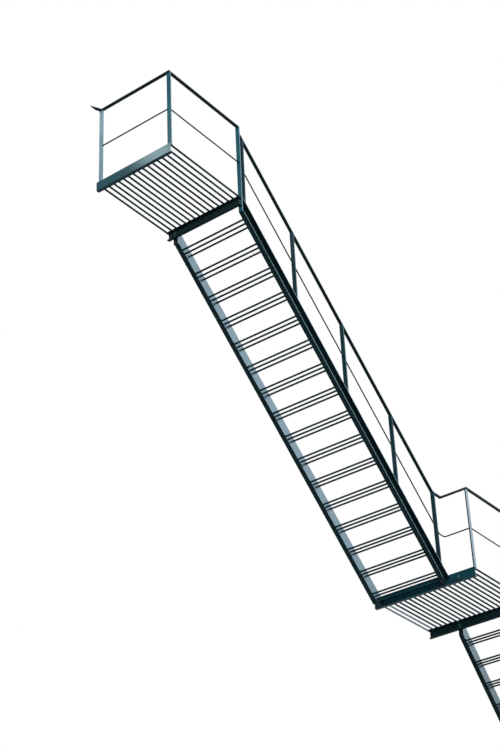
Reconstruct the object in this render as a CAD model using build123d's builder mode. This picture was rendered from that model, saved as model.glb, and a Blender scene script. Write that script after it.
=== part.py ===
"""Fire escape stair on a wall: two open-bar landings, two open-bar flights and their guards.

Millimetres, +Z up. The wall is the plane y = 0 and the stair stands out from it towards -Y.
+X runs along the wall in the direction of going down. The origin is the centre of the web's
end face, at the wall, of the upper landing's left bearer.
"""
import os
from dataclasses import dataclass
from math import atan, cos, radians, sin, tan

from build123d import *

# Storeys and steps
upper_storey = 3300.0
lower_storey = 3520.0
risers = 16
upper_going = 226.0
lower_going = 190.0
upper_clear = 865.0
lower_clear = 885.0

# Landings
landing_length = 1220.0
upper_outreach = 1050.0
lower_outreach = 1386.0
upper_bar_count = 16
lower_bar_count = 21

# Cantilever bearers, channel section
bearer_depth = 115.0
bearer_flange = 40.0
bearer_web = 6.0
bearer_flange_thick = 7.0
bearer_root = 6.0

# Stringers, channel section
stringer_depth = 140.0
stringer_flange = 60.0
stringer_web = 7.0
stringer_flange_thick = 9.0
stringer_root = 8.0
stringer_lift = 25.0

# Square bars of decks and treads
bar = 16.0
bar_wall_gap = 4.0
tread_bars = 3
tread_pitch = 74.0
tread_tail = 57.5

# Posts of flat bar; the hangers at the stringers' heads are cut from the same flat
post_wide = 50.0
post_thick = 15.0
wall_post_y = 45.0
post_lead = 60.0
post_past_knee = 12.0
upper_post_pitch = 895.0
flight_post_count = 5
hanger_below = 190.0

# Rails: a flat bar lying on the posts, its height taken to its underside, and a round mid rail
guard_height = 1012.0
flight_guard_drop = 83.0
mid_height = 498.0
flight_mid_drop = 12.0
rail_wide = 40.0
rail_thick = 10.0
rail_bend = 80.0
mid_dia = 16.0
mid_bend = 20.0
mid_clearance = 0.2
return_reach = 95.0

# Plates under the lower flight's feet
foot_plate = 10.0
foot_margin = 25.0

# Levels and lines that follow from the sizes above
deck_top = bearer_depth / 2
lower_deck_top = deck_top - upper_storey
ground = lower_deck_top - lower_storey
tread_drop = bearer_flange_thick + bearer_root
tread_depth = (tread_bars - 1) * tread_pitch
mid_radius = mid_dia / 2
upper_left_x = -bearer_web / 2
upper_head_x = upper_left_x + landing_length
upper_post_y = post_wide / 2 - upper_outreach
lower_post_y = post_thick / 2 - lower_outreach
upper_line_x = upper_left_x + bearer_flange / 2
ALONG_X = (1, 0, 0)
ALONG_Y = (0, 1, 0)


@dataclass
class Flight:
    """One flight: where it starts, how it steps down and where its outer posts stand."""

    head_x: float
    top: float
    storey: float
    going: float
    clear: float
    post_y: float

    @property
    def slope(self):
        return self.rise / self.going

    @property
    def pitch(self):
        return atan(self.slope)

    @property
    def rise(self):
        return self.storey / risers

    @property
    def centre_lift(self):
        """Height of the stringers' middle line above the landing, at the head."""
        return stringer_lift - stringer_depth / 2 / cos(self.pitch)

    @property
    def lead(self):
        """First bar of the first tread past the head, so that the tread is centred in the web."""
        below = self.rise + tread_drop + bar / 2
        return (self.centre_lift + below) / self.slope - tread_depth / 2

    @property
    def run(self):
        return self.lead + (risers - 1) * self.going + tread_depth + tread_tail

    @property
    def outer_y(self):
        """Stair face of the outer stringer's web; its toes end under the posts' street edges."""
        return self.post_y - post_wide / 2 + stringer_flange

    @property
    def inner_y(self):
        """Stair face of the inner stringer's web."""
        return self.outer_y + self.clear

    def level(self, height, x):
        """Level at x of a line parallel to the pitch, its height given above the landing."""
        return self.top + height - self.slope * (x - self.head_x)

    def knee_x(self, height, end_height):
        """Where such a line comes down to a height above the level the flight leads to."""
        return self.head_x + (height + self.storey - end_height) / self.slope

    def rail_line(self, height, end_height, start_x, end_x):
        """Corners of a rail: down the pitch from start_x, then level from its knee to end_x."""
        end_level = self.top - self.storey + end_height
        return (
            (start_x, self.post_y, self.level(height, start_x)),
            (self.knee_x(height, end_height), self.post_y, end_level),
            (end_x, self.post_y, end_level),
        )


upper = Flight(upper_head_x, deck_top, upper_storey, upper_going, upper_clear, upper_post_y)
lower_left_x = upper_head_x + upper.run
lower_head_x = lower_left_x + landing_length
lower_line_x = lower_left_x + bearer_flange / 2
lower = Flight(lower_head_x, lower_deck_top, lower_storey, lower_going, lower_clear, lower_post_y)
flight_guard_height = guard_height - flight_guard_drop
flight_mid_height = mid_height - flight_mid_drop

os.makedirs("parts", exist_ok=True)


def channel(web, flange, web_thick, flange_thick, root):
    """Channel section drawn with its web's back on x = 0 and its toes towards +X."""
    half = web / 2
    inner = half - flange_thick
    with BuildSketch() as section:
        with BuildLine():
            Polyline(
                (0, half),
                (flange, half),
                (flange, inner),
                (web_thick, inner),
                (web_thick, -inner),
                (flange, -inner),
                (flange, -half),
                (0, -half),
                close=True,
            )
        make_face()
        fillet(section.vertices().filter_by_position(Axis.X, web_thick, web_thick), root)
    return section.sketch


def bearer(web_x, side, top, outreach):
    """Channel standing out from the wall, web's outer face at web_x, toes towards side."""
    outline = channel(
        bearer_depth, bearer_flange, bearer_web, bearer_flange_thick, bearer_root
    )
    start = Plane(
        origin=(web_x, 0, top - bearer_depth / 2), x_dir=(side, 0, 0), z_dir=(0, -1, 0)
    )
    with BuildPart() as piece:
        with BuildSketch(start):
            add(outline)
        extrude(amount=outreach)
    return piece.part


def deck(left_x, top, outreach, count):
    """Square bars between the two bearers' webs, just clear of the rounded roots."""
    length = landing_length - 2 * bearer_web
    first = bar_wall_gap + bar / 2
    step = (outreach - bar / 2 - first) / (count - 1)
    level = top - tread_drop - bar / 2
    spots = [(left_x + landing_length / 2, -first - i * step, level) for i in range(count)]
    with BuildPart() as piece:
        with Locations(*spots):
            Box(length, bar, bar)
    return piece.part


def stringer(flight, web_y, side, foot_x, cut_level):
    """Channel down the pitch, web's stair face at web_y, cut plumb at its head and foot."""
    down = (cos(flight.pitch), 0, -sin(flight.pitch))
    start_x = flight.head_x - stringer_depth
    start_level = flight.level(flight.centre_lift, start_x)
    start = Plane(origin=(start_x, web_y, start_level), x_dir=(0, side, 0), z_dir=down)
    outline = channel(
        stringer_depth, stringer_flange, stringer_web, stringer_flange_thick, stringer_root
    )
    with BuildPart() as piece:
        with BuildSketch(start):
            add(outline)
        extrude(amount=(foot_x - start_x + 2 * stringer_depth) / cos(flight.pitch))
        split(bisect_by=Plane((flight.head_x + post_thick, 0, 0), z_dir=(1, 0, 0)), keep=Keep.TOP)
        split(bisect_by=Plane((foot_x, 0, 0), z_dir=(-1, 0, 0)), keep=Keep.TOP)
        split(bisect_by=Plane((0, 0, cut_level), z_dir=(0, 0, 1)), keep=Keep.TOP)
    return piece.part


def treads(flight, count):
    """Each tread is a row of square bars between the two stringers' webs."""
    spots = [
        (
            flight.head_x + flight.lead + i * flight.going + k * tread_pitch,
            flight.inner_y - flight.clear / 2,
            flight.top - (i + 1) * flight.rise - tread_drop - bar / 2,
        )
        for i in range(count)
        for k in range(tread_bars)
    ]
    with BuildPart() as piece:
        with Locations(*spots):
            Box(bar, flight.clear, bar)
    return piece.part


def inner_hanger(flight):
    """Flat on the bearer's web that carries the head of the inner stringer."""
    high = stringer_lift - flight.slope * post_thick
    with BuildPart() as piece:
        with Locations((flight.head_x, flight.inner_y, flight.top - hanger_below)):
            Box(
                post_thick,
                stringer_flange,
                hanger_below + high,
                align=(Align.MIN, Align.MIN, Align.MIN),
            )
    return piece.part


def level_post(x, y, low, high, size):
    """Flat bar on end, sawn level for the rail that lies on it."""
    with BuildPart() as piece:
        with Locations((x, y, low)):
            Box(*size, high - low, align=(Align.CENTER, Align.CENTER, Align.MIN))
    return piece.part


def bent_path(points, radii):
    """Straight lines through the points, joined by arcs of the given radii."""
    corners = [Vector(*p) for p in points]
    start = corners[0]
    for i, radius in enumerate(radii, start=1):
        here = corners[i]
        into = (here - corners[i - 1]).normalized()
        out = (corners[i + 1] - here).normalized()
        half_turn = radians(into.get_angle(out)) / 2
        back = radius * tan(half_turn)
        first = here - into * back
        last = here + out * back
        middle = here + (out - into).normalized() * (radius / cos(half_turn) - radius)
        Line(start, first)
        ThreePointArc(first, middle, last)
        start = last
    Line(start, corners[-1])


def round_bar(points, radii=()):
    """Round bar whose middle follows a bent path."""
    with BuildPart() as piece:
        with BuildLine() as path:
            bent_path(points, radii)
        into = (Vector(*points[1]) - Vector(*points[0])).normalized()
        with BuildSketch(Plane(origin=points[0], z_dir=into)):
            Circle(mid_radius)
        sweep(path=path.wires()[0])
    return piece.part


def flat_bar(points, radii=(), wide=rail_wide, thick=rail_thick):
    """Flat bar lying level across its length, its underside along a bent path."""
    with BuildPart() as piece:
        with BuildLine() as path:
            bent_path(points, radii)
        into = (Vector(*points[1]) - Vector(*points[0])).normalized()
        across = Vector(0, 0, 1).cross(into).normalized()
        with BuildSketch(Plane(origin=points[0], x_dir=across, z_dir=into)):
            Rectangle(wide, thick, align=(Align.CENTER, Align.MIN))
        sweep(path=path.wires()[0])
    return piece.part


def flight_posts(flight, spots):
    """Flat bars from the outer stringer up to the handrail, bored for the mid rail."""
    down = (cos(flight.pitch), 0, -sin(flight.pitch))
    end_level = flight.top - flight.storey + guard_height
    rail_room = flat_bar(
        flight.rail_line(
            flight_guard_height, guard_height, flight.head_x, spots[-1] + rail_bend
        ),
        (rail_bend,),
        2 * post_wide,
        rail_bend / 2,
    )
    with BuildPart() as piece:
        for x in spots:
            left = x - post_thick / 2
            right = x + post_thick / 2
            tops = [
                max(flight.level(flight_guard_height, side), end_level) + rail_thick
                for side in (left, right)
            ]
            with BuildSketch(Plane.XZ.offset(-flight.post_y - post_wide / 2)):
                with BuildLine():
                    Polyline(
                        (left, flight.level(stringer_lift, left)),
                        (right, flight.level(stringer_lift, right)),
                        (right, tops[1]),
                        (left, tops[0]),
                        close=True,
                    )
                make_face()
            extrude(amount=post_wide)
            centre = (x, flight.post_y, flight.level(flight_mid_height, x))
            with Locations(Plane(origin=centre, z_dir=down)):
                Cylinder(mid_radius + mid_clearance, 2 * post_wide, mode=Mode.SUBTRACT)
        add(rail_room, mode=Mode.SUBTRACT)
    return piece.part


def trimmed(shape, point, normal):
    """The part of a shape on the side of a plane that its normal points to."""
    with BuildPart() as piece:
        add(shape)
        split(bisect_by=Plane(origin=point, z_dir=normal), keep=Keep.TOP)
    return piece.part


def save(shape, name):
    """Names a finished node and writes its file."""
    shape.label = name
    export_step(shape, f"parts/{name}.step")


# Upper landing: bearers and deck
save(bearer(upper_left_x, 1, deck_top, upper_outreach), "upper_left_bearer")
save(bearer(upper_head_x, -1, deck_top, upper_outreach), "upper_right_bearer")
save(deck(upper_left_x, deck_top, upper_outreach, upper_bar_count), "upper_deck_bars")

# Upper landing: posts, wide faces across the wall; the right one runs down as a hanger
rail_level = deck_top + guard_height
mid_level = deck_top + mid_height
corner = (upper_line_x, upper_post_y, rail_level)
jamb = (upper_line_x, -wall_post_y, rail_level)
right_line_x = upper_head_x + post_thick / 2
hanger_level = deck_top - hanger_below
across = (post_thick, post_wide)
wall_post = level_post(upper_line_x, -wall_post_y, deck_top, rail_level, across)
left_post = level_post(upper_line_x, upper_post_y, deck_top, rail_level, across)
right_post = level_post(right_line_x, upper_post_y, hanger_level, rail_level, across)
save(wall_post, "upper_wall_post")
save(left_post, "upper_left_corner_post")
save(right_post, "upper_right_corner_post")

# Upper landing: top rail mitred at the corner and again where it turns into the wall
end_rail = flat_bar(
    (
        (upper_line_x, upper_post_y - rail_wide, rail_level),
        (upper_line_x, rail_wide - wall_post_y, rail_level),
    )
)
return_way = Vector(-return_reach, wall_post_y, 0).normalized()
jamb_mitre = return_way + Vector(*ALONG_Y)
end_rail = trimmed(end_rail, corner, (-1, 1, 0))
save(trimmed(end_rail, jamb, -jamb_mitre), "upper_end_top_rail")
front_rail = flat_bar(
    (
        (upper_line_x - rail_wide, upper_post_y, rail_level),
        (upper_head_x + post_thick, upper_post_y, rail_level),
    )
)
save(trimmed(front_rail, corner, (1, -1, 0)), "upper_front_top_rail")
rail_return = flat_bar(
    (
        Vector(*jamb) - return_way * rail_wide,
        Vector(*jamb) + return_way * 2 * return_reach,
    )
)
rail_return = trimmed(rail_return, jamb, jamb_mitre)
save(trimmed(rail_return, (0, 0, 0), (0, -1, 0)), "upper_rail_return")

# Upper landing: mid rails between the faces of the posts
end_mid = round_bar(
    (
        (upper_line_x, upper_post_y + post_wide / 2, mid_level),
        (upper_line_x, -wall_post_y - post_wide / 2, mid_level),
    )
)
front_mid = round_bar(
    (
        (upper_line_x + post_thick / 2, upper_post_y, mid_level),
        (upper_head_x, upper_post_y, mid_level),
    )
)
save(end_mid, "upper_end_mid_rail")
save(front_mid, "upper_front_mid_rail")

# Lower landing: bearers and deck
save(bearer(lower_left_x, 1, lower_deck_top, lower_outreach), "lower_left_bearer")
save(bearer(lower_head_x, -1, lower_deck_top, lower_outreach), "lower_right_bearer")
save(deck(lower_left_x, lower_deck_top, lower_outreach, lower_bar_count), "lower_deck_bars")

# Lower landing: the left post shows its wide face to the street, flush with the bearer's tip
rail_level = lower_deck_top + guard_height
mid_level = lower_deck_top + mid_height
corner = (lower_line_x, lower_post_y, rail_level)
turn = (lower_line_x, upper_post_y, rail_level)
right_line_x = lower_head_x + post_thick / 2
hanger_level = lower_deck_top - hanger_below
turned = (post_wide, post_thick)
left_post = level_post(lower_line_x, lower_post_y, lower_deck_top, rail_level, turned)
right_post = level_post(right_line_x, lower_post_y, hanger_level, rail_level, across)
save(left_post, "lower_left_corner_post")
save(right_post, "lower_right_corner_post")

# Lower landing: top rails, mitred at the corner and where the upper flight's handrail turns in
end_rail = flat_bar(
    (
        (lower_line_x, upper_post_y + rail_wide, rail_level),
        (lower_line_x, lower_post_y - rail_wide, rail_level),
    )
)
end_rail = trimmed(end_rail, turn, (1, -1, 0))
save(trimmed(end_rail, corner, (-1, 1, 0)), "lower_end_top_rail")
front_rail = flat_bar(
    (
        (lower_line_x - rail_wide, lower_post_y, rail_level),
        (lower_head_x + post_thick, lower_post_y, rail_level),
    )
)
save(trimmed(front_rail, corner, (1, -1, 0)), "lower_front_top_rail")

# Lower landing: mid rails, the end one from the seam where the upper flight's has come level
levelled = upper.knee_x(flight_mid_height, mid_height) + mid_bend * tan(upper.pitch / 2)
mid_seam = (levelled + lower_line_x - mid_bend) / 2
front_mid = round_bar(
    (
        (lower_line_x + post_wide / 2, lower_post_y, mid_level),
        (lower_head_x, lower_post_y, mid_level),
    )
)
end_mid = round_bar(
    (
        (mid_seam, upper_post_y, mid_level),
        (lower_line_x, upper_post_y, mid_level),
        (lower_line_x, lower_post_y + post_thick / 2, mid_level),
    ),
    (mid_bend,),
)
save(front_mid, "lower_front_mid_rail")
save(end_mid, "lower_end_mid_rail")

# Both flights: stringers, hangers, treads and posts
foot_x = lower_head_x + lower.run + lower_storey
for name, flight, count, end_x, cut_level in (
    ("upper", upper, risers, lower_left_x, lower_deck_top - bearer_depth),
    ("lower", lower, risers - 1, foot_x, ground + foot_plate),
):
    inner = stringer(flight, flight.inner_y, 1, end_x, cut_level)
    outer = stringer(flight, flight.outer_y, -1, end_x, cut_level)
    first_post = flight.head_x + post_lead + post_thick / 2
    last_post = flight.knee_x(flight_guard_height, guard_height) + post_past_knee
    pitch = (last_post - first_post) / (flight_post_count - 1)
    if flight is upper:
        pitch = upper_post_pitch
    spots = [first_post + i * pitch for i in range(flight_post_count - 1)]
    save(inner, f"{name}_flight_inner_stringer")
    save(outer, f"{name}_flight_outer_stringer")
    save(inner_hanger(flight), f"{name}_flight_inner_hanger")
    save(treads(flight, count), f"{name}_flight_treads")
    save(flight_posts(flight, spots + [last_post]), f"{name}_flight_posts")

# Both flights: handrail and mid rail, level at their feet
lower_end_x = lower_head_x + lower.run
for name, flight, top_end_x, mid_end_x in (
    ("upper", upper, lower_line_x + rail_wide, mid_seam),
    ("lower", lower, lower_end_x, lower_end_x),
):
    start_x = flight.head_x - rail_wide
    face = (flight.head_x + post_thick, 0, 0)
    handrail = flat_bar(
        flight.rail_line(flight_guard_height, guard_height, start_x, top_end_x), (rail_bend,)
    )
    if flight is upper:
        handrail = trimmed(handrail, turn, (-1, 1, 0))
    mid_rail = round_bar(
        flight.rail_line(flight_mid_height, mid_height, start_x, mid_end_x), (mid_bend,)
    )
    save(trimmed(handrail, face, ALONG_X), f"{name}_flight_handrail")
    save(trimmed(mid_rail, face, ALONG_X), f"{name}_flight_mid_rail")

# Feet of the lower flight on the ground
foot_length = stringer_depth / sin(lower.pitch)
foot_end = lower_head_x + (stringer_lift + lower_storey - foot_plate) / lower.slope
foot_ys = (lower.inner_y + stringer_flange / 2, lower.outer_y - stringer_flange / 2)
with BuildPart() as foot_plates:
    for y in foot_ys:
        with Locations((foot_end - foot_length / 2, y, ground + foot_plate / 2)):
            Box(foot_length + 2 * foot_margin, stringer_flange + 2 * foot_margin, foot_plate)
save(foot_plates.part, "lower_flight_foot_plates")
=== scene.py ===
"""Looks of a fire escape stair: weathered dark blue-green gloss on rolled and square steel.

Metres, in the frame of the CAD model: the stair is fixed at the plane y = 0, stands out from it
towards -Y and goes down towards +X. The sections follow the stair as it is put together.
"""

from math import atan, cos, pi, radians, sin, tau

import bmesh
import bpy
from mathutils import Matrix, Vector, noise


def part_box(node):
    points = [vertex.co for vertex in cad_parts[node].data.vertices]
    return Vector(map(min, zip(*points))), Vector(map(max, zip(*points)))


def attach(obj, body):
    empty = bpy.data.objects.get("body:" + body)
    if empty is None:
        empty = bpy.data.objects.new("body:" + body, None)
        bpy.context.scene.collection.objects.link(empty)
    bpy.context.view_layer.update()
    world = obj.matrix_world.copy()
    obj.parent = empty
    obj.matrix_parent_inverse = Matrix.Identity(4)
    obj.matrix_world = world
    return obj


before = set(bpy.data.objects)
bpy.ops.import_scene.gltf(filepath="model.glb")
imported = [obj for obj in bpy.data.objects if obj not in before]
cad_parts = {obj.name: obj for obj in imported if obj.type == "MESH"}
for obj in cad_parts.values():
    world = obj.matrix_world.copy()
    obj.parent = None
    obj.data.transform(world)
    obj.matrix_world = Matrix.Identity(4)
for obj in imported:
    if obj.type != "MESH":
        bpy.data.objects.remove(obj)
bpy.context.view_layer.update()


# Bearers: four lengths of rolled mild steel channel that carry the landings as cantilevers, sawn
# square at their tips. They were painted by brush on the spot, in a gloss whose strokes run along
# the steel. The right ones have a much darker, duller paint, which is painted shade.


class Plug:
    """A socket of a material. Sums and products of plugs add Math nodes to its tree."""

    def __init__(self, tree, socket=None):
        self.tree = tree
        self.socket = socket

    def node(self, kind, settings=(), inputs=(), out=0):
        """Adds a node: first its settings, then the values or links of its sockets."""
        made = self.tree.nodes.new(kind)
        for key, value in dict(settings).items():
            setattr(made, key, value)
        for key, value in dict(inputs).items():
            if isinstance(value, Plug):
                self.tree.links.new(value.socket, made.inputs[key])
            else:
                made.inputs[key].default_value = value
        return Plug(self.tree, made.outputs[out])

    def math(self, operation, *values):
        return self.node("ShaderNodeMath", {"operation": operation}, enumerate(values))

    def __add__(self, other):
        return self.math("ADD", self, other)

    def __sub__(self, other):
        return self.math("SUBTRACT", self, other)

    def __mul__(self, other):
        return self.math("MULTIPLY", self, other)

    __radd__ = __add__
    __rmul__ = __mul__

    def __rsub__(self, other):
        return self.math("SUBTRACT", other, self)

    def between(self, low, high):
        """0 below low, 1 above high, with a soft step from one to the other."""
        settings = {"interpolation_type": "SMOOTHSTEP"}
        inputs = {"Value": self, "From Min": low, "From Max": high}
        return self.node("ShaderNodeMapRange", settings, inputs)

    def blend(self, base, over):
        """The colour base where this mask is 0, and the colour over where it is 1."""
        inputs = {0: self, 6: base, 7: over}
        return self.node("ShaderNodeMix", {"data_type": "RGBA"}, inputs, out=2)

    def noise(self, scale, detail, rough):
        """Cloudy values round 0.5 at these coordinates."""
        inputs = {"Vector": self, "Scale": scale, "Detail": detail, "Roughness": rough}
        return self.node("ShaderNodeTexNoise", {}, inputs)

    def end(self, kind):
        """Links this shader to the tree's output, of a material or of the world."""
        output = self.tree.nodes.new(kind)
        self.tree.links.new(self.socket, output.inputs["Surface"])


def linear(*levels):
    """Colour for a socket from three display levels of 0 to 255."""
    parts = [level / 255 for level in levels]
    return [p / 12.92 if p < 0.04045 else ((p + 0.055) / 1.055) ** 2.4 for p in parts] + [1.0]


def gloss_paint(name, colour, stroke, chips, dull=0.30, tilt=0.0, tread_wear=0.0, dulled_to=None):
    """Brush-applied gloss on steel: strokes, fading, dust on top, chipped and rusty edges.

    Stroke is how fine the brush marks are along each axis, after a turn by tilt about Y. Where
    dulled_to is given, grit from shoes has dulled all that lies on the outer side of that y.
    """
    made = bpy.data.materials.new(name)
    made.use_nodes = True
    tree = made.node_tree
    tree.nodes.clear()
    start = Plug(tree)
    place = start.node("ShaderNodeTexCoord", out="Object")
    facing = start.node("ShaderNodeNewGeometry", out="Normal")
    up = start.node("ShaderNodeSeparateXYZ", {}, {"Vector": facing}, out="Z")

    # Edges: a small rounding that shows, and a wider one that only finds where paint chips off
    rounded = start.node("ShaderNodeBevel", {"samples": 6}, {"Radius": 0.0013})
    broken = start.node("ShaderNodeBevel", {"samples": 6}, {"Radius": 0.0025})
    compare = {"operation": "DOT_PRODUCT"}
    likeness = start.node("ShaderNodeVectorMath", compare, {0: broken, 1: facing}, out="Value")
    edge = (1 - likeness).between(0.01, 0.16)

    # Patterns, from the largest to the finest
    turned = start.node("ShaderNodeMapping", {}, {"Vector": place, "Rotation": (0, tilt, 0)})
    along = start.node("ShaderNodeMapping", {}, {"Vector": turned, "Scale": stroke})
    runs = start.node("ShaderNodeMapping", {}, {"Vector": place, "Scale": (70, 70, 3)})
    clouds = place.noise(2.3, 5.0, 0.62)
    streaks = runs.noise(1.0, 3.0, 0.5).between(0.52, 0.74)
    strokes = along.noise(1.0, 4.0, 0.6)
    patches = place.noise(17.0, 4.0, 0.6)
    grit = place.noise(310.0, 3.0, 0.6)

    # Colour: paint, then what has run down it, settled on it and broken through it
    fading = 0.30
    dark = [c * (1 - fading) for c in colour[:3]] + [1.0]
    pale = [c * (1 + fading) + 0.004 for c in colour[:3]] + [1.0]
    tone = (clouds * 0.6 + strokes * 0.25 + patches * 0.15).between(0.36, 0.64).blend(dark, pale)
    grime = streaks * (1 - up.between(0.2, 0.5)) * clouds.between(0.40, 0.62)
    tone = (grime * 0.5).blend(tone, linear(24, 50, 52))
    dust = up.between(0.45, 0.95) * (patches * 0.5 + clouds * 0.5).between(0.34, 0.62)
    tone = (dust * 0.42).blend(tone, linear(104, 108, 100))
    chipped = patches * 0.6 + grit * 0.4
    chipped = edge * chipped.between(0.68 - 0.12 * chips, 0.76 - 0.12 * chips)
    pitted = patches * 0.45 + grit * 0.55
    pitted = pitted.between(0.68 - 0.03 * chips, 0.72 - 0.03 * chips)
    bare = chipped.math("MAXIMUM", chipped, pitted * 0.8)
    rust = grit.blend(linear(64, 34, 22), linear(112, 62, 36))
    tone = bare.blend(tone, rust)

    rough = dull + strokes * 0.16 + dust * 0.25 + bare * 0.42
    metal = 0.0
    if dulled_to is not None:
        across = start.node("ShaderNodeSeparateXYZ", {}, {"Vector": place}, out="Y")
        dulled = 1 - across.between(dulled_to - 0.01, dulled_to + 0.01)
        rough = rough + dulled * (0.34 + 0.2 * patches)
    if tread_wear:
        trodden = up.between(0.6, 0.95) * (strokes * 0.5 + patches * 0.5).between(0.47, 0.57)
        trodden = trodden * tread_wear
        tone = trodden.blend(tone, linear(128, 122, 114))
        rough = rough + trodden * 0.08
        metal = trodden * 0.75
    height = strokes * 0.9 + grit * 0.07 - bare * 0.9
    relief = {"Strength": 0.32, "Distance": 0.0007, "Height": height, "Normal": rounded}
    looks = {
        "Base Color": tone,
        "Roughness": rough,
        "Metallic": metal,
        "Normal": start.node("ShaderNodeBump", {}, relief),
        "IOR": 1.25,
        "Specular Tint": (0.35, 0.85, 1.0, 1.0),
    }
    start.node("ShaderNodeBsdfPrincipled", {}, looks).end("ShaderNodeOutputMaterial")
    return made


def dress(finish, *nodes):
    """Gives CAD nodes their finish."""
    for node in nodes:
        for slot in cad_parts[node].material_slots:
            slot.material = finish


for name, colour, dull, side in (
    ("bearer_gloss", linear(12, 56, 66), 0.18, "left"),
    # Painted shade: the right bearers' dark paint stands in for the shade under the decks
    ("shaded_bearer_gloss", linear(6, 26, 28), 0.55, "right"),
):
    bearer_paint = gloss_paint(name, colour, (110, 4, 110), chips=0.4, dull=dull)
    dress(bearer_paint, f"upper_{side}_bearer", f"lower_{side}_bearer")


# Decks: square bars laid side by side between the two bearers of a landing, each welded all round
# to the webs at both ends. Their tops are trodden, so the gloss there is worn and dusty, and the
# beads have lost more of their paint than the bars.


def solids(node):
    """Lowest and highest corner of every separate bar of a node, read from its mesh."""
    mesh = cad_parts[node].data
    spots = {}
    corner = [spots.setdefault(tuple(round(c, 6) for c in v.co), len(spots)) for v in mesh.vertices]
    group = list(range(len(spots)))

    def root(i):
        while group[i] != i:
            group[i] = group[group[i]]
            i = group[i]
        return i

    for face in mesh.polygons:
        first = root(corner[face.vertices[0]])
        for vertex in face.vertices[1:]:
            group[root(corner[vertex])] = first
    boxes = {}
    for spot, i in spots.items():
        low, high = boxes.setdefault(root(i), (list(spot), list(spot)))
        for axis in range(3):
            low[axis] = min(low[axis], spot[axis])
            high[axis] = max(high[axis], spot[axis])
    return [(Vector(low), Vector(high)) for low, high in sorted(boxes.values())]


weld_step = 0.0018
corner_parts = 4


def around(half_u, half_v, corner):
    """Points (u, v) round a rectangle with rounded corners, each with its outward direction."""
    spots = []
    for quarter, (side_u, side_v) in enumerate(((1, 1), (-1, 1), (-1, -1), (1, -1))):
        middle_u = side_u * (half_u - corner)
        middle_v = side_v * (half_v - corner)
        for k in range(corner_parts + 1):
            a = (quarter + k / corner_parts) * pi / 2
            spots.append((middle_u + corner * cos(a), middle_v + corner * sin(a), cos(a), sin(a)))
        a = (quarter + 1) * pi / 2
        side = 2 * ((half_v if quarter % 2 else half_u) - corner)
        parts = int(side / weld_step)
        for k in range(1, parts):
            u = middle_u + corner * cos(a) - sin(a) * side * k / parts
            v = middle_v + corner * sin(a) + cos(a) * side * k / parts
            spots.append((u, v, cos(a), sin(a)))
    return spots


# Shares of a bead's size: the depth of its root, the height of its crown, its lumps and ripples
root_depth, crown = 0.25, 0.62
lumps, ripples = 0.3, 0.08
lump_scale, ripple_turn = 160, 1.9


def bead(mesh, path, size, closed=True):
    """Weld bead along a path of points, each with the directions of the two faces it joins."""
    rows = []
    for i, (point, out, up) in enumerate(path):
        lump = lumps * noise.noise(point * lump_scale)
        swell = size * (1 + lump + ripples * sin(i * ripple_turn))
        section = (
            point - (out + up) * root_depth * size,
            point + out * swell,
            point + (out + up) * crown * swell,
            point + up * swell,
        )
        rows.append([mesh.verts.new(spot) for spot in section])
    ahead = rows[1:] + rows[:1] if closed else rows[1:]
    for row, following in zip(rows, ahead):
        for k in range(4):
            mesh.faces.new((row[k], row[k - 3], following[k - 3], following[k]))
    if not closed:
        mesh.faces.new(rows[0])
        mesh.faces.new(rows[-1][::-1])


bar_weld = 0.0028
bar_corner = 0.001


def bead_round(mesh, centre, u, v, up, half):
    """Weld bead round the end of a square bar that stands on a face with its length along up."""
    path = []
    for a, b, out_a, out_b in around(half, half, bar_corner):
        path.append((centre + u * a + v * b, u * out_a + v * out_b, up))
    bead(mesh, path, bar_weld)


def finish_piece(name, mesh, paint):
    """Makes a finished mesh into a piece of the stair."""
    bmesh.ops.recalc_face_normals(mesh, faces=mesh.faces)
    data = bpy.data.meshes.new(name)
    mesh.to_mesh(data)
    mesh.free()
    data.materials.append(paint)
    data.polygons.foreach_set("use_smooth", [True] * len(data.polygons))
    piece = bpy.data.objects.new(name, data)
    bpy.context.scene.collection.objects.link(piece)
    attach(piece, "root")


X, Y, Z = Vector((1, 0, 0)), Vector((0, 1, 0)), Vector((0, 0, 1))
weld_paint = gloss_paint("weld_gloss", linear(14, 46, 50), (90, 90, 90), chips=1.2)
for landing, dulled_to in (("upper", 0.0), ("lower", -0.115)):
    deck_paint = gloss_paint(
        f"{landing}_deck_gloss",
        linear(8, 36, 40),
        (5, 120, 120),
        chips=0.5,
        tread_wear=0.8,
        dulled_to=dulled_to,
    )
    dress(deck_paint, f"{landing}_deck_bars")
    welds = bmesh.new()
    for low, high in solids(f"{landing}_deck_bars"):
        middle = (low + high) / 2
        for x, up in ((low.x, X), (high.x, -X)):
            end = Vector((x, middle.y, middle.z))
            bead_round(welds, end, Y, Z, up, (high.z - low.z) / 2)
    finish_piece(f"{landing}_deck_welds", welds, weld_paint)


# Stringers and hangers: each flight hangs between two channels laid down the pitch, their toes
# turned away from the steps. The outer one's head is welded to the landing's corner post, the
# inner one's to a flat hanger, and their feet to the next bearer or to a plate on the ground.
steps = {"upper": (0.20625, 0.226), "lower": (0.220, 0.190)}
pitches = {flight: atan(rise / going) for flight, (rise, going) in steps.items()}
# Painted shade: the lower flight's stringers are painted darker than the upper's, for the shade
# below the landing
stringer_colours = {"upper": linear(7, 32, 34), "lower": linear(5, 24, 24)}
for flight, pitch in pitches.items():
    colour = stringer_colours[flight]
    stringer_paint = gloss_paint(
        f"{flight}_stringer_gloss", colour, (4, 110, 110), chips=0.3, tilt=-pitch
    )
    dress(stringer_paint, f"{flight}_flight_inner_stringer", f"{flight}_flight_outer_stringer")
# Painted shade: the hangers' near-black paint stands in for the shade they hang in
hanger_paint = gloss_paint("shaded_hanger_gloss", linear(5, 18, 18), (110, 110, 5), chips=0.5)
dress(hanger_paint, "upper_flight_inner_hanger", "lower_flight_inner_hanger")
channel_weld = 0.006
stringer_depth, stringer_flange_thick, stringer_web = 0.140, 0.009, 0.007


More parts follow.
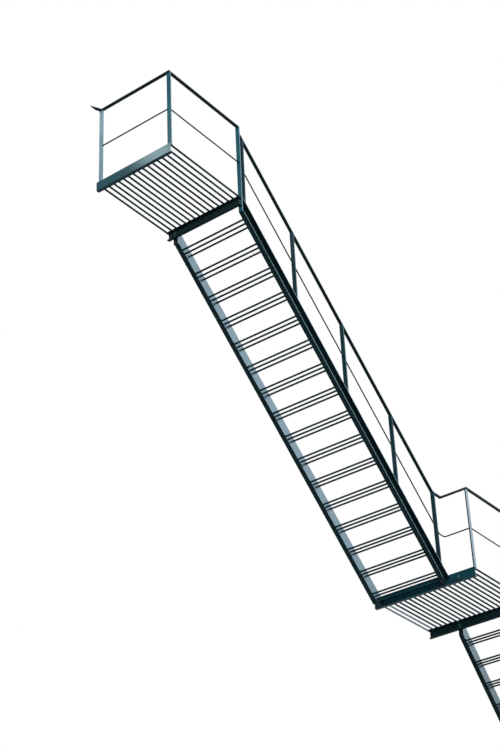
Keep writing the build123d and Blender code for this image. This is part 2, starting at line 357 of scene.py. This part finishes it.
def bead_along(mesh, start, end, out, up, size):
    """Straight weld bead from start to end."""
    parts = max(2, round((end - start).length / weld_step))
    path = [(start.lerp(end, i / parts), out, up) for i in range(parts + 1)]
    bead(mesh, path, size, closed=False)


def across_flanges(mesh, spot, reach, out, pitch, cut=None):
    """Beads along both faces of both flanges, where a channel is cut plumb at the spot."""
    faces = (
        (0, Z),
        (stringer_flange_thick, -Z),
        (stringer_depth - stringer_flange_thick, Z),
        (stringer_depth, -Z),
    )
    for drop, up in faces:
        start = spot - Z * drop / cos(pitch)
        if cut is None or start.z > cut:
            bead_along(mesh, start, start + Y * reach, out, up, channel_weld)


welds = bmesh.new()
for flight, pitch in pitches.items():
    downhill = Vector((cos(pitch), 0, -sin(pitch)))
    post_low, post_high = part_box(f"{flight}_right_corner_post")
    for side in ("outer", "inner"):
        low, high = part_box(f"{flight}_flight_{side}_stringer")
        width = high.y - low.y
        reach = post_high.y - low.y if side == "outer" else width
        across_flanges(welds, Vector((low.x, low.y, high.z)), reach, downhill, pitch)
        stair_face, stair_way = (high.y, Y) if side == "outer" else (low.y, -Y)
        throat_face = stair_face - stair_way.y * stringer_web
        if flight == "upper":
            rise = high.z - (high.x - low.x) * sin(pitch) / cos(pitch)
            foot_top = Vector((high.x, low.y, rise))
            across_flanges(welds, foot_top, width, -downhill, pitch, cut=low.z)
            foot = Vector((high.x, stair_face, low.z))
            bead_along(welds, foot, foot + Z * (rise - low.z), -X, stair_way, channel_weld)
        else:
            drop = high.z - low.z - stringer_depth / cos(pitch)
            heel = low.x + drop * cos(pitch) / sin(pitch)
            for face, way in ((stair_face, stair_way), (throat_face, -stair_way)):
                start, end = Vector((heel, face, low.z)), Vector((high.x, face, low.z))
                bead_along(welds, start, end, way, Z, channel_weld)
            corner = Vector((heel, low.y, low.z))
            bead_along(welds, corner, corner + Y * width, -X, -downhill, channel_weld)
finish_piece("stringer_welds", welds, weld_paint)


# Treads: every step is three square bars, set level between the stringers' webs and welded all
# round at both ends like the bars of the decks. They are the most walked on of all the steel.
tread_paint = gloss_paint(
    "tread_gloss", linear(8, 36, 40), (120, 5, 120), chips=0.5, tread_wear=1.0
)
dress(tread_paint, "upper_flight_treads", "lower_flight_treads")
for flight in steps:
    welds = bmesh.new()
    for low, high in solids(f"{flight}_flight_treads"):
        middle = (low + high) / 2
        for y, up in ((low.y, Y), (high.y, -Y)):
            end = Vector((middle.x, y, middle.z))
            bead_round(welds, end, X, Z, up, (high.z - low.z) / 2)
    finish_piece(f"{flight}_tread_welds", welds, weld_paint)


# Posts: flat bars on end, welded at the foot and sawn to the rail that they carry. Those over a
# left bearer stand on its flange, those over a right bearer run down its web, and the flights'
# posts stand on the outer stringer. Their paints differ in tone and gloss: the upper corner posts
# are a mid teal, the flights' posts darker and the lower corner posts darker still. The wall post's
# pale blue-grey is a painted reflection of bright light.
upper_corners = ("upper_left_corner_post", "upper_right_corner_post")
lower_corners = ("lower_left_corner_post", "lower_right_corner_post")
for name, colour, dull, nodes in (
    ("post_gloss", linear(4, 68, 82), 0.36, upper_corners),
    # Painted reflection: the wall post's pale colour stands in for the bright light it reflects
    ("pale_reflection_post_gloss", linear(106, 134, 146), 0.38, ("upper_wall_post",)),
    ("flight_post_gloss", linear(4, 36, 45), 0.50, ("upper_flight_posts", "lower_flight_posts")),
    ("lower_post_gloss", linear(8, 26, 30), 0.27, lower_corners),
):
    dress(gloss_paint(name, colour, (110, 110, 5), chips=0.3, dull=dull), *nodes)
foot_weld = 0.005
welds = bmesh.new()
for node in ("upper_wall_post", "upper_left_corner_post"):
    low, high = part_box(node)
    near_left, near_right = Vector((low.x, low.y, low.z)), Vector((high.x, low.y, low.z))
    far_left, far_right = Vector((low.x, high.y, low.z)), Vector((high.x, high.y, low.z))
    bead_along(welds, near_left, far_left, -X, Z, foot_weld)
    bead_along(welds, far_left, far_right, Y, Z, foot_weld)
    bead_along(welds, near_right, far_right, X, Z, foot_weld)
    # The corner post is flush with the bearer's tip, where a bead has no seat
    if node == "upper_wall_post":
        bead_along(welds, near_left, near_right, -Y, Z, foot_weld)
low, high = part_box("lower_left_corner_post")
bearer_low, bearer_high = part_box("lower_left_bearer")
start, end = Vector((bearer_low.x, high.y, low.z)), Vector((bearer_high.x, high.y, low.z))
bead_along(welds, start, end, Y, Z, foot_weld)
for flight, (rise, going) in steps.items():
    downhill = Vector((going, 0, -rise)).normalized()
    for low, high in solids(f"{flight}_flight_posts"):
        uphill_level = low.z + (high.x - low.x) * rise / going
        uphill_near = Vector((low.x, low.y, uphill_level))
        uphill_far = Vector((low.x, high.y, uphill_level))
        downhill_near = Vector((high.x, low.y, low.z))
        downhill_far = Vector((high.x, high.y, low.z))
        bead_along(welds, uphill_near, uphill_far, -downhill, Z, foot_weld)
        bead_along(welds, uphill_far, downhill_far, Y, Z, foot_weld)
        bead_along(welds, downhill_near, downhill_far, downhill, Z, foot_weld)
finish_piece("post_foot_welds", welds, weld_paint)


# Top rails: flat bar lying on the posts, mitred at the landings' corners and bent cold where the
# flight's handrail comes level. Its underside is welded to every post, and the mitres are welded
# underneath and ground flush on top, where hands run.
rail_paint = gloss_paint("rail_gloss", linear(6, 20, 21), (60, 60, 60), chips=0.3, dull=0.46)
dress(
    rail_paint,
    "upper_end_top_rail",
    "upper_front_top_rail",
    "upper_rail_return",
    "lower_end_top_rail",
    "lower_front_top_rail",
    "upper_flight_handrail",
    "lower_flight_handrail",
)
rail_weld = 0.004
rail_thick = 0.010
knee_rise = 0.004
same_place = 0.0001


def edge_level(node, x):
    """Highest point of a node's edges at this x."""
    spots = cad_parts[node].data.vertices
    return max(v.co.z for v in spots if abs(v.co.x - x) < same_place)


seam_sink, seam_spread, seam_height = 0.0006, 0.9, 0.25


def seam(mesh, start, end):
    """Low bead on the underside of a mitre that is flush."""
    side = (end - start).cross(-Z).normalized() * seam_spread
    drop = Z * seam_height
    sink = Z * seam_sink
    bead_along(mesh, start + sink, end + sink, side - drop, -side - drop, rail_weld)


welds = bmesh.new()
for landing in ("upper", "lower"):
    low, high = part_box(f"{landing}_right_corner_post")
    rail_low, rail_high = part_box(f"{landing}_front_top_rail")
    near, far = Y * rail_low.y, Y * rail_high.y
    under = X * low.x + Z * rail_low.z
    bead_along(welds, under + near, under + far, -X, -Z, rail_weld)
    downhill = Vector((cos(pitches[landing]), 0, -sin(pitches[landing])))
    hand_low, hand_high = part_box(f"{landing}_flight_handrail")
    slant = rail_thick / cos(pitches[landing])
    for level, up in ((hand_high.z, Z), (hand_high.z - slant, -Z)):
        head = X * high.x + Z * level
        bead_along(welds, head + near, head + far, downhill, up, rail_weld)
    for low, high in solids(f"{landing}_flight_posts"):
        for x, out in ((low.x, -downhill), (high.x, downhill)):
            level = edge_level(f"{landing}_flight_posts", x)
            # Past its bend the rail is level, and so is the bead
            if out == downhill and level - hand_low.z < knee_rise:
                out = X
            top = X * x + Z * level
            bead_along(welds, top + near, top + far, out, -Z, rail_weld)
for node in ("upper_wall_post", "upper_left_corner_post"):
    low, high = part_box(node)
    for x, out in ((low.x, -X), (high.x, X)):
        start, end = Vector((x, low.y, high.z)), Vector((x, high.y, high.z))
        bead_along(welds, start, end, out, -Z, rail_weld)
low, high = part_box("lower_left_corner_post")
rail_low, rail_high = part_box("lower_end_top_rail")
left_stop, right_stop = 0.004, 0.001
for y, out in ((low.y, -Y), (high.y, Y)):
    start = Vector((rail_low.x + left_stop, y, high.z))
    end = Vector((rail_high.x - right_stop, y, high.z))
    bead_along(welds, start, end, out, -Z, rail_weld)
for end_rail, next_rail in (
    ("upper_end_top_rail", "upper_front_top_rail"),
    ("upper_end_top_rail", "upper_rail_return"),
    ("lower_end_top_rail", "upper_flight_handrail"),
    ("lower_end_top_rail", "lower_front_top_rail"),
):
    low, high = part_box(end_rail)
    next_low, next_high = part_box(next_rail)
    start = Vector((low.x, next_low.y, low.z))
    end = Vector((high.x, min(high.y, next_high.y), low.z))
    seam(welds, start, end)
finish_piece("rail_welds", welds, weld_paint)


# Mid rails: thin round bar at half height. It butts on the corner posts and passes through a bored
# hole in each post of the flights, welded where it enters.
mid_paint = gloss_paint("mid_rail_gloss", linear(8, 34, 36), (90, 90, 90), chips=0.3, dull=0.40)
dress(
    mid_paint,
    "upper_end_mid_rail",
    "upper_front_mid_rail",
    "lower_end_mid_rail",
    "lower_front_mid_rail",
    "upper_flight_mid_rail",
    "lower_flight_mid_rail",
)
ring_weld = 0.0035
mid_half = 0.008


def ring(mesh, centre, along, pitch=0.0):
    """Bead round the mid rail where it meets a post; along points away from the post."""
    side = Y if abs(along.x) > 0.5 else X
    tall = mid_half / cos(pitch)
    path = []
    # With a corner as large as its half, the rectangle is a circle
    for a, b, _, _ in around(1.0, 1.0, 1.0):
        path.append((centre + side * a * mid_half + Z * b * tall, side * a + Z * b, along))
    bead(mesh, path, ring_weld)


welds = bmesh.new()
for landing in ("upper", "lower"):
    low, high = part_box(f"{landing}_front_mid_rail")
    middle = (low + high) / 2
    ring(welds, Vector((low.x, middle.y, middle.z)), X)
    ring(welds, Vector((high.x, middle.y, middle.z)), -X)
    low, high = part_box(f"{landing}_flight_mid_rail")
    rise, going = steps[landing]
    pitch = pitches[landing]
    head = high.z - mid_half * cos(pitch)
    y = (low.y + high.y) / 2
    ring(welds, Vector((low.x, y, head)), X, pitch)
    for post_low, post_high in solids(f"{landing}_flight_posts"):
        for x, along in ((post_low.x, -X), (post_high.x, X)):
            if high.x - x > mid_half:
                level = head - (x - low.x) * rise / going
                ring(welds, Vector((x, y, level)), along, pitch)
low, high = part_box("upper_end_mid_rail")
middle = (low + high) / 2
ring(welds, Vector((middle.x, low.y, middle.z)), Y)
ring(welds, Vector((middle.x, high.y, middle.z)), -Y)
low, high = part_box("lower_end_mid_rail")
post_low, post_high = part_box("lower_left_corner_post")
post_face = Vector(((post_low.x + post_high.x) / 2, post_high.y, (low.z + high.z) / 2))
ring(welds, post_face, Y)
finish_piece("mid_rail_welds", welds, weld_paint)


# Bolts: the right corner posts and the hangers are also bolted through the bearers' webs, a
# hexagon head on one side and a nut on a washer on the other, all in a paler teal paint than the
# steel. One larger bolt goes through the lower left bearer. It stands where a highlight lies, and
# with its pale paint it is a painted highlight.
bolt_paint = gloss_paint("bolt_gloss", linear(60, 96, 98), (120, 120, 120), chips=1.4)
bolt_across, bolt_stud = 0.019, 0.007
large_across = 0.024
bolt_sides = 36
washer_thick = 0.002
thread_parts = 8
bearer_web = 0.006
bolt_rise, bolt_drop = 0.006, 0.029
large_from_tip, large_drop = 0.222, 0.009


def turned_piece(mesh, seat, axis, profile):
    """Solid turned about an axis. Each row is a height, a radius and whether it is hexagonal."""
    turn = axis.to_track_quat("Z", "Y").to_matrix()
    rows = []
    for height, radius, hexagonal in profile:
        row = []
        for k in range(bolt_sides):
            a = tau * k / bolt_sides
            reach = radius
            if hexagonal:
                reach = radius / cos((a + pi / 6) % (pi / 3) - pi / 6)
            spot = Vector((reach * cos(a), reach * sin(a), height))
            row.append(mesh.verts.new(seat + turn @ spot))
        rows.append(row)
    for row, following in zip(rows, rows[1:]):
        for k in range(bolt_sides):
            mesh.faces.new((row[k - 1], row[k], following[k], following[k - 1]))
    mesh.faces.new(rows[0][::-1])
    mesh.faces.new(rows[-1])


def bolt_end(mesh, seat, axis, across, stud=0.0):
    """Washer and chamfered hexagon on a face: a bolt's head, or a nut with the stud's end."""
    half = across / 2
    washer = [
        (-0.0005, across * 0.90, False),
        (washer_thick, across * 0.90, False),
        (washer_thick + 0.0005, across * 0.86, False),
    ]
    hexagon = [
        (0.0, half, True),
        (across * 0.50, half, True),
        (across * 0.60, half * 1.05, False),
        (across * 0.62, half * 0.85, False),
    ]
    turned_piece(mesh, seat, axis, washer)
    on_washer = seat + axis * (washer_thick + 0.0002)
    turned_piece(mesh, on_washer, axis, hexagon)
    if stud:
        thread = [(across * 0.55, across * 0.31, False)]
        for k in range(1, thread_parts + 1):
            radius = across * (0.31 - 0.02 * (k % 2))
            thread.append((across * 0.62 + stud * k / thread_parts, radius, False))
        turned_piece(mesh, on_washer, axis, thread)


bolts = bmesh.new()
for landing in ("upper", "lower"):
    web_low, web_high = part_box(f"{landing}_right_bearer")
    throat_x = web_high.x - bearer_web
    middle = (web_low.z + web_high.z) / 2
    for carried in (f"{landing}_right_corner_post", f"{landing}_flight_inner_hanger"):
        low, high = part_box(carried)
        y = (low.y + high.y) / 2
        for level in (middle + bolt_rise, middle - bolt_drop):
            bolt_end(bolts, Vector((throat_x, y, level)), -X, bolt_across)
            bolt_end(bolts, Vector((high.x, y, level)), X, bolt_across, stud=bolt_stud)
# Painted highlight: this larger pale bolt stands in for a highlight on the lower left bearer
low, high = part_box("lower_left_bearer")
level = (low.z + high.z) / 2 - large_drop
for x, axis in ((low.x, -X), (low.x + bearer_web, X)):
    bolt_end(bolts, Vector((x, low.y + large_from_tip, level)), axis, large_across)
finish_piece("bearer_bolts", bolts, bolt_paint)


# Feet: two steel plates under the lower flight's stringers, each held down by four anchors whose
# nuts stand in the plate's corners.
foot_paint = gloss_paint("foot_gloss", linear(20, 68, 74), (60, 60, 60), chips=1.2)
dress(foot_paint, "lower_flight_foot_plates")
anchor_across, anchor_stud = 0.013, 0.008
anchor_inset = 0.0135
anchors = bmesh.new()
for low, high in solids("lower_flight_foot_plates"):
    for x in (low.x + anchor_inset, high.x - anchor_inset):
        for y in (low.y + anchor_inset, high.y - anchor_inset):
            bolt_end(anchors, Vector((x, y, high.z)), Z, anchor_across, stud=anchor_stud)
finish_piece("foot_anchors", anchors, bolt_paint)


# Studio: a wide pale floor that is clear from below, a soft pale sky, two broad suns, a small soft
# lamp beside the upper landing, and the camera at the photograph's angle, low on the left and
# looking up along the stair.


def shows_itself(start):
    """1 for rays that show this surface: straight from the camera, mirrored or refracted."""
    seen = start.node("ShaderNodeLightPath", out="Is Camera Ray")
    seen = seen + start.node("ShaderNodeLightPath", out="Is Glossy Ray")
    seen = seen + start.node("ShaderNodeLightPath", out="Is Transmission Ray")
    return seen.math("MINIMUM", seen, 1.0)


floor_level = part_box("lower_flight_foot_plates")[0].z
floor_left, floor_right, floor_near, floor_far = -35.0, 45.0, -40.0, 35.0
floor_corners = [
    (floor_left, floor_near, floor_level),
    (floor_right, floor_near, floor_level),
    (floor_right, floor_far, floor_level),
    (floor_left, floor_far, floor_level),
]
floor_data = bpy.data.meshes.new("floor")
floor_data.from_pydata(floor_corners, [], [(0, 1, 2, 3)])
floor = bpy.data.objects.new("floor", floor_data)
bpy.context.scene.collection.objects.link(floor)
floor_finish = bpy.data.materials.new("pale_floor")
floor_finish.use_nodes = True
floor_finish.node_tree.nodes.clear()
ground = Plug(floor_finish.node_tree)
tone = shows_itself(ground).blend((0.12, 0.12, 0.12, 1), (0.66, 0.66, 0.66, 1))
matt = ground.node("ShaderNodeBsdfDiffuse", {}, {"Color": tone})
clear = ground.node("ShaderNodeBsdfTransparent")
from_below = ground.node("ShaderNodeNewGeometry", out="Backfacing")
surface = ground.node("ShaderNodeMixShader", {}, {0: from_below, 1: matt, 2: clear})
surface.end("ShaderNodeOutputMaterial")
floor_data.materials.append(floor_finish)

world = bpy.data.worlds.new("pale_world")
bpy.context.scene.world = world
world.use_nodes = True
world.node_tree.nodes.clear()
sky = Plug(world.node_tree)
way = sky.node("ShaderNodeTexCoord", out="Generated")
high_up = sky.node("ShaderNodeSeparateXYZ", {}, {"Vector": way}, out="Z")
soft_light = high_up.between(-0.15, 0.8) * 0.6 + 0.02
backdrop = high_up.between(-0.55, -0.05) * 0.55 + 0.45
strength = soft_light + shows_itself(sky) * (backdrop - soft_light)
glow = sky.node("ShaderNodeBackground", {}, {"Color": (1, 1, 1, 1), "Strength": strength})
glow.end("ShaderNodeOutputWorld")

for name, towards, strength, spread, tint in (
    ("sky_sun", (0.68, -0.5, 0.53), 2.8, 28, (0.71, 0.86, 1.0)),
    ("side_sun", (-0.85, -0.35, 0.35), 2.4, 20, (1.0, 1.0, 1.0)),
):
    lamp = bpy.data.lights.new(name, "SUN")
    lamp.color = tint
    lamp.energy = strength
    lamp.angle = radians(spread)
    holder = bpy.data.objects.new(name, lamp)
    holder.rotation_euler = Vector(towards).to_track_quat("Z", "Y").to_euler()
    bpy.context.scene.collection.objects.link(holder)

landing_edge = Vector((0.0, -0.8, 0.0))
lamp = bpy.data.lights.new("landing_lamp", "AREA")
lamp.shape = "RECTANGLE"
lamp.size, lamp.size_y = 0.6, 0.3
lamp.energy = 15
holder = bpy.data.objects.new("landing_lamp", lamp)
holder.location = (-1.45, 0.26, 1.50)
holder.rotation_euler = (landing_edge - holder.location).to_track_quat("-Z", "Y").to_euler()
holder.visible_camera = False
bpy.context.scene.collection.objects.link(holder)

lens = bpy.data.cameras.new("camera")
lens.sensor_fit = "HORIZONTAL"
lens.sensor_width = 36.0
lens.lens = 121.0
lens.clip_end = 200.0
camera = bpy.data.objects.new("camera", lens)
camera.location = (-10.602, -9.823, -11.442)
camera.rotation_euler = (radians(121.96), radians(2.130), radians(-52.107))
bpy.context.scene.collection.objects.link(camera)
bpy.context.scene.camera = camera

bpy.context.scene.view_settings.view_transform = "Standard"
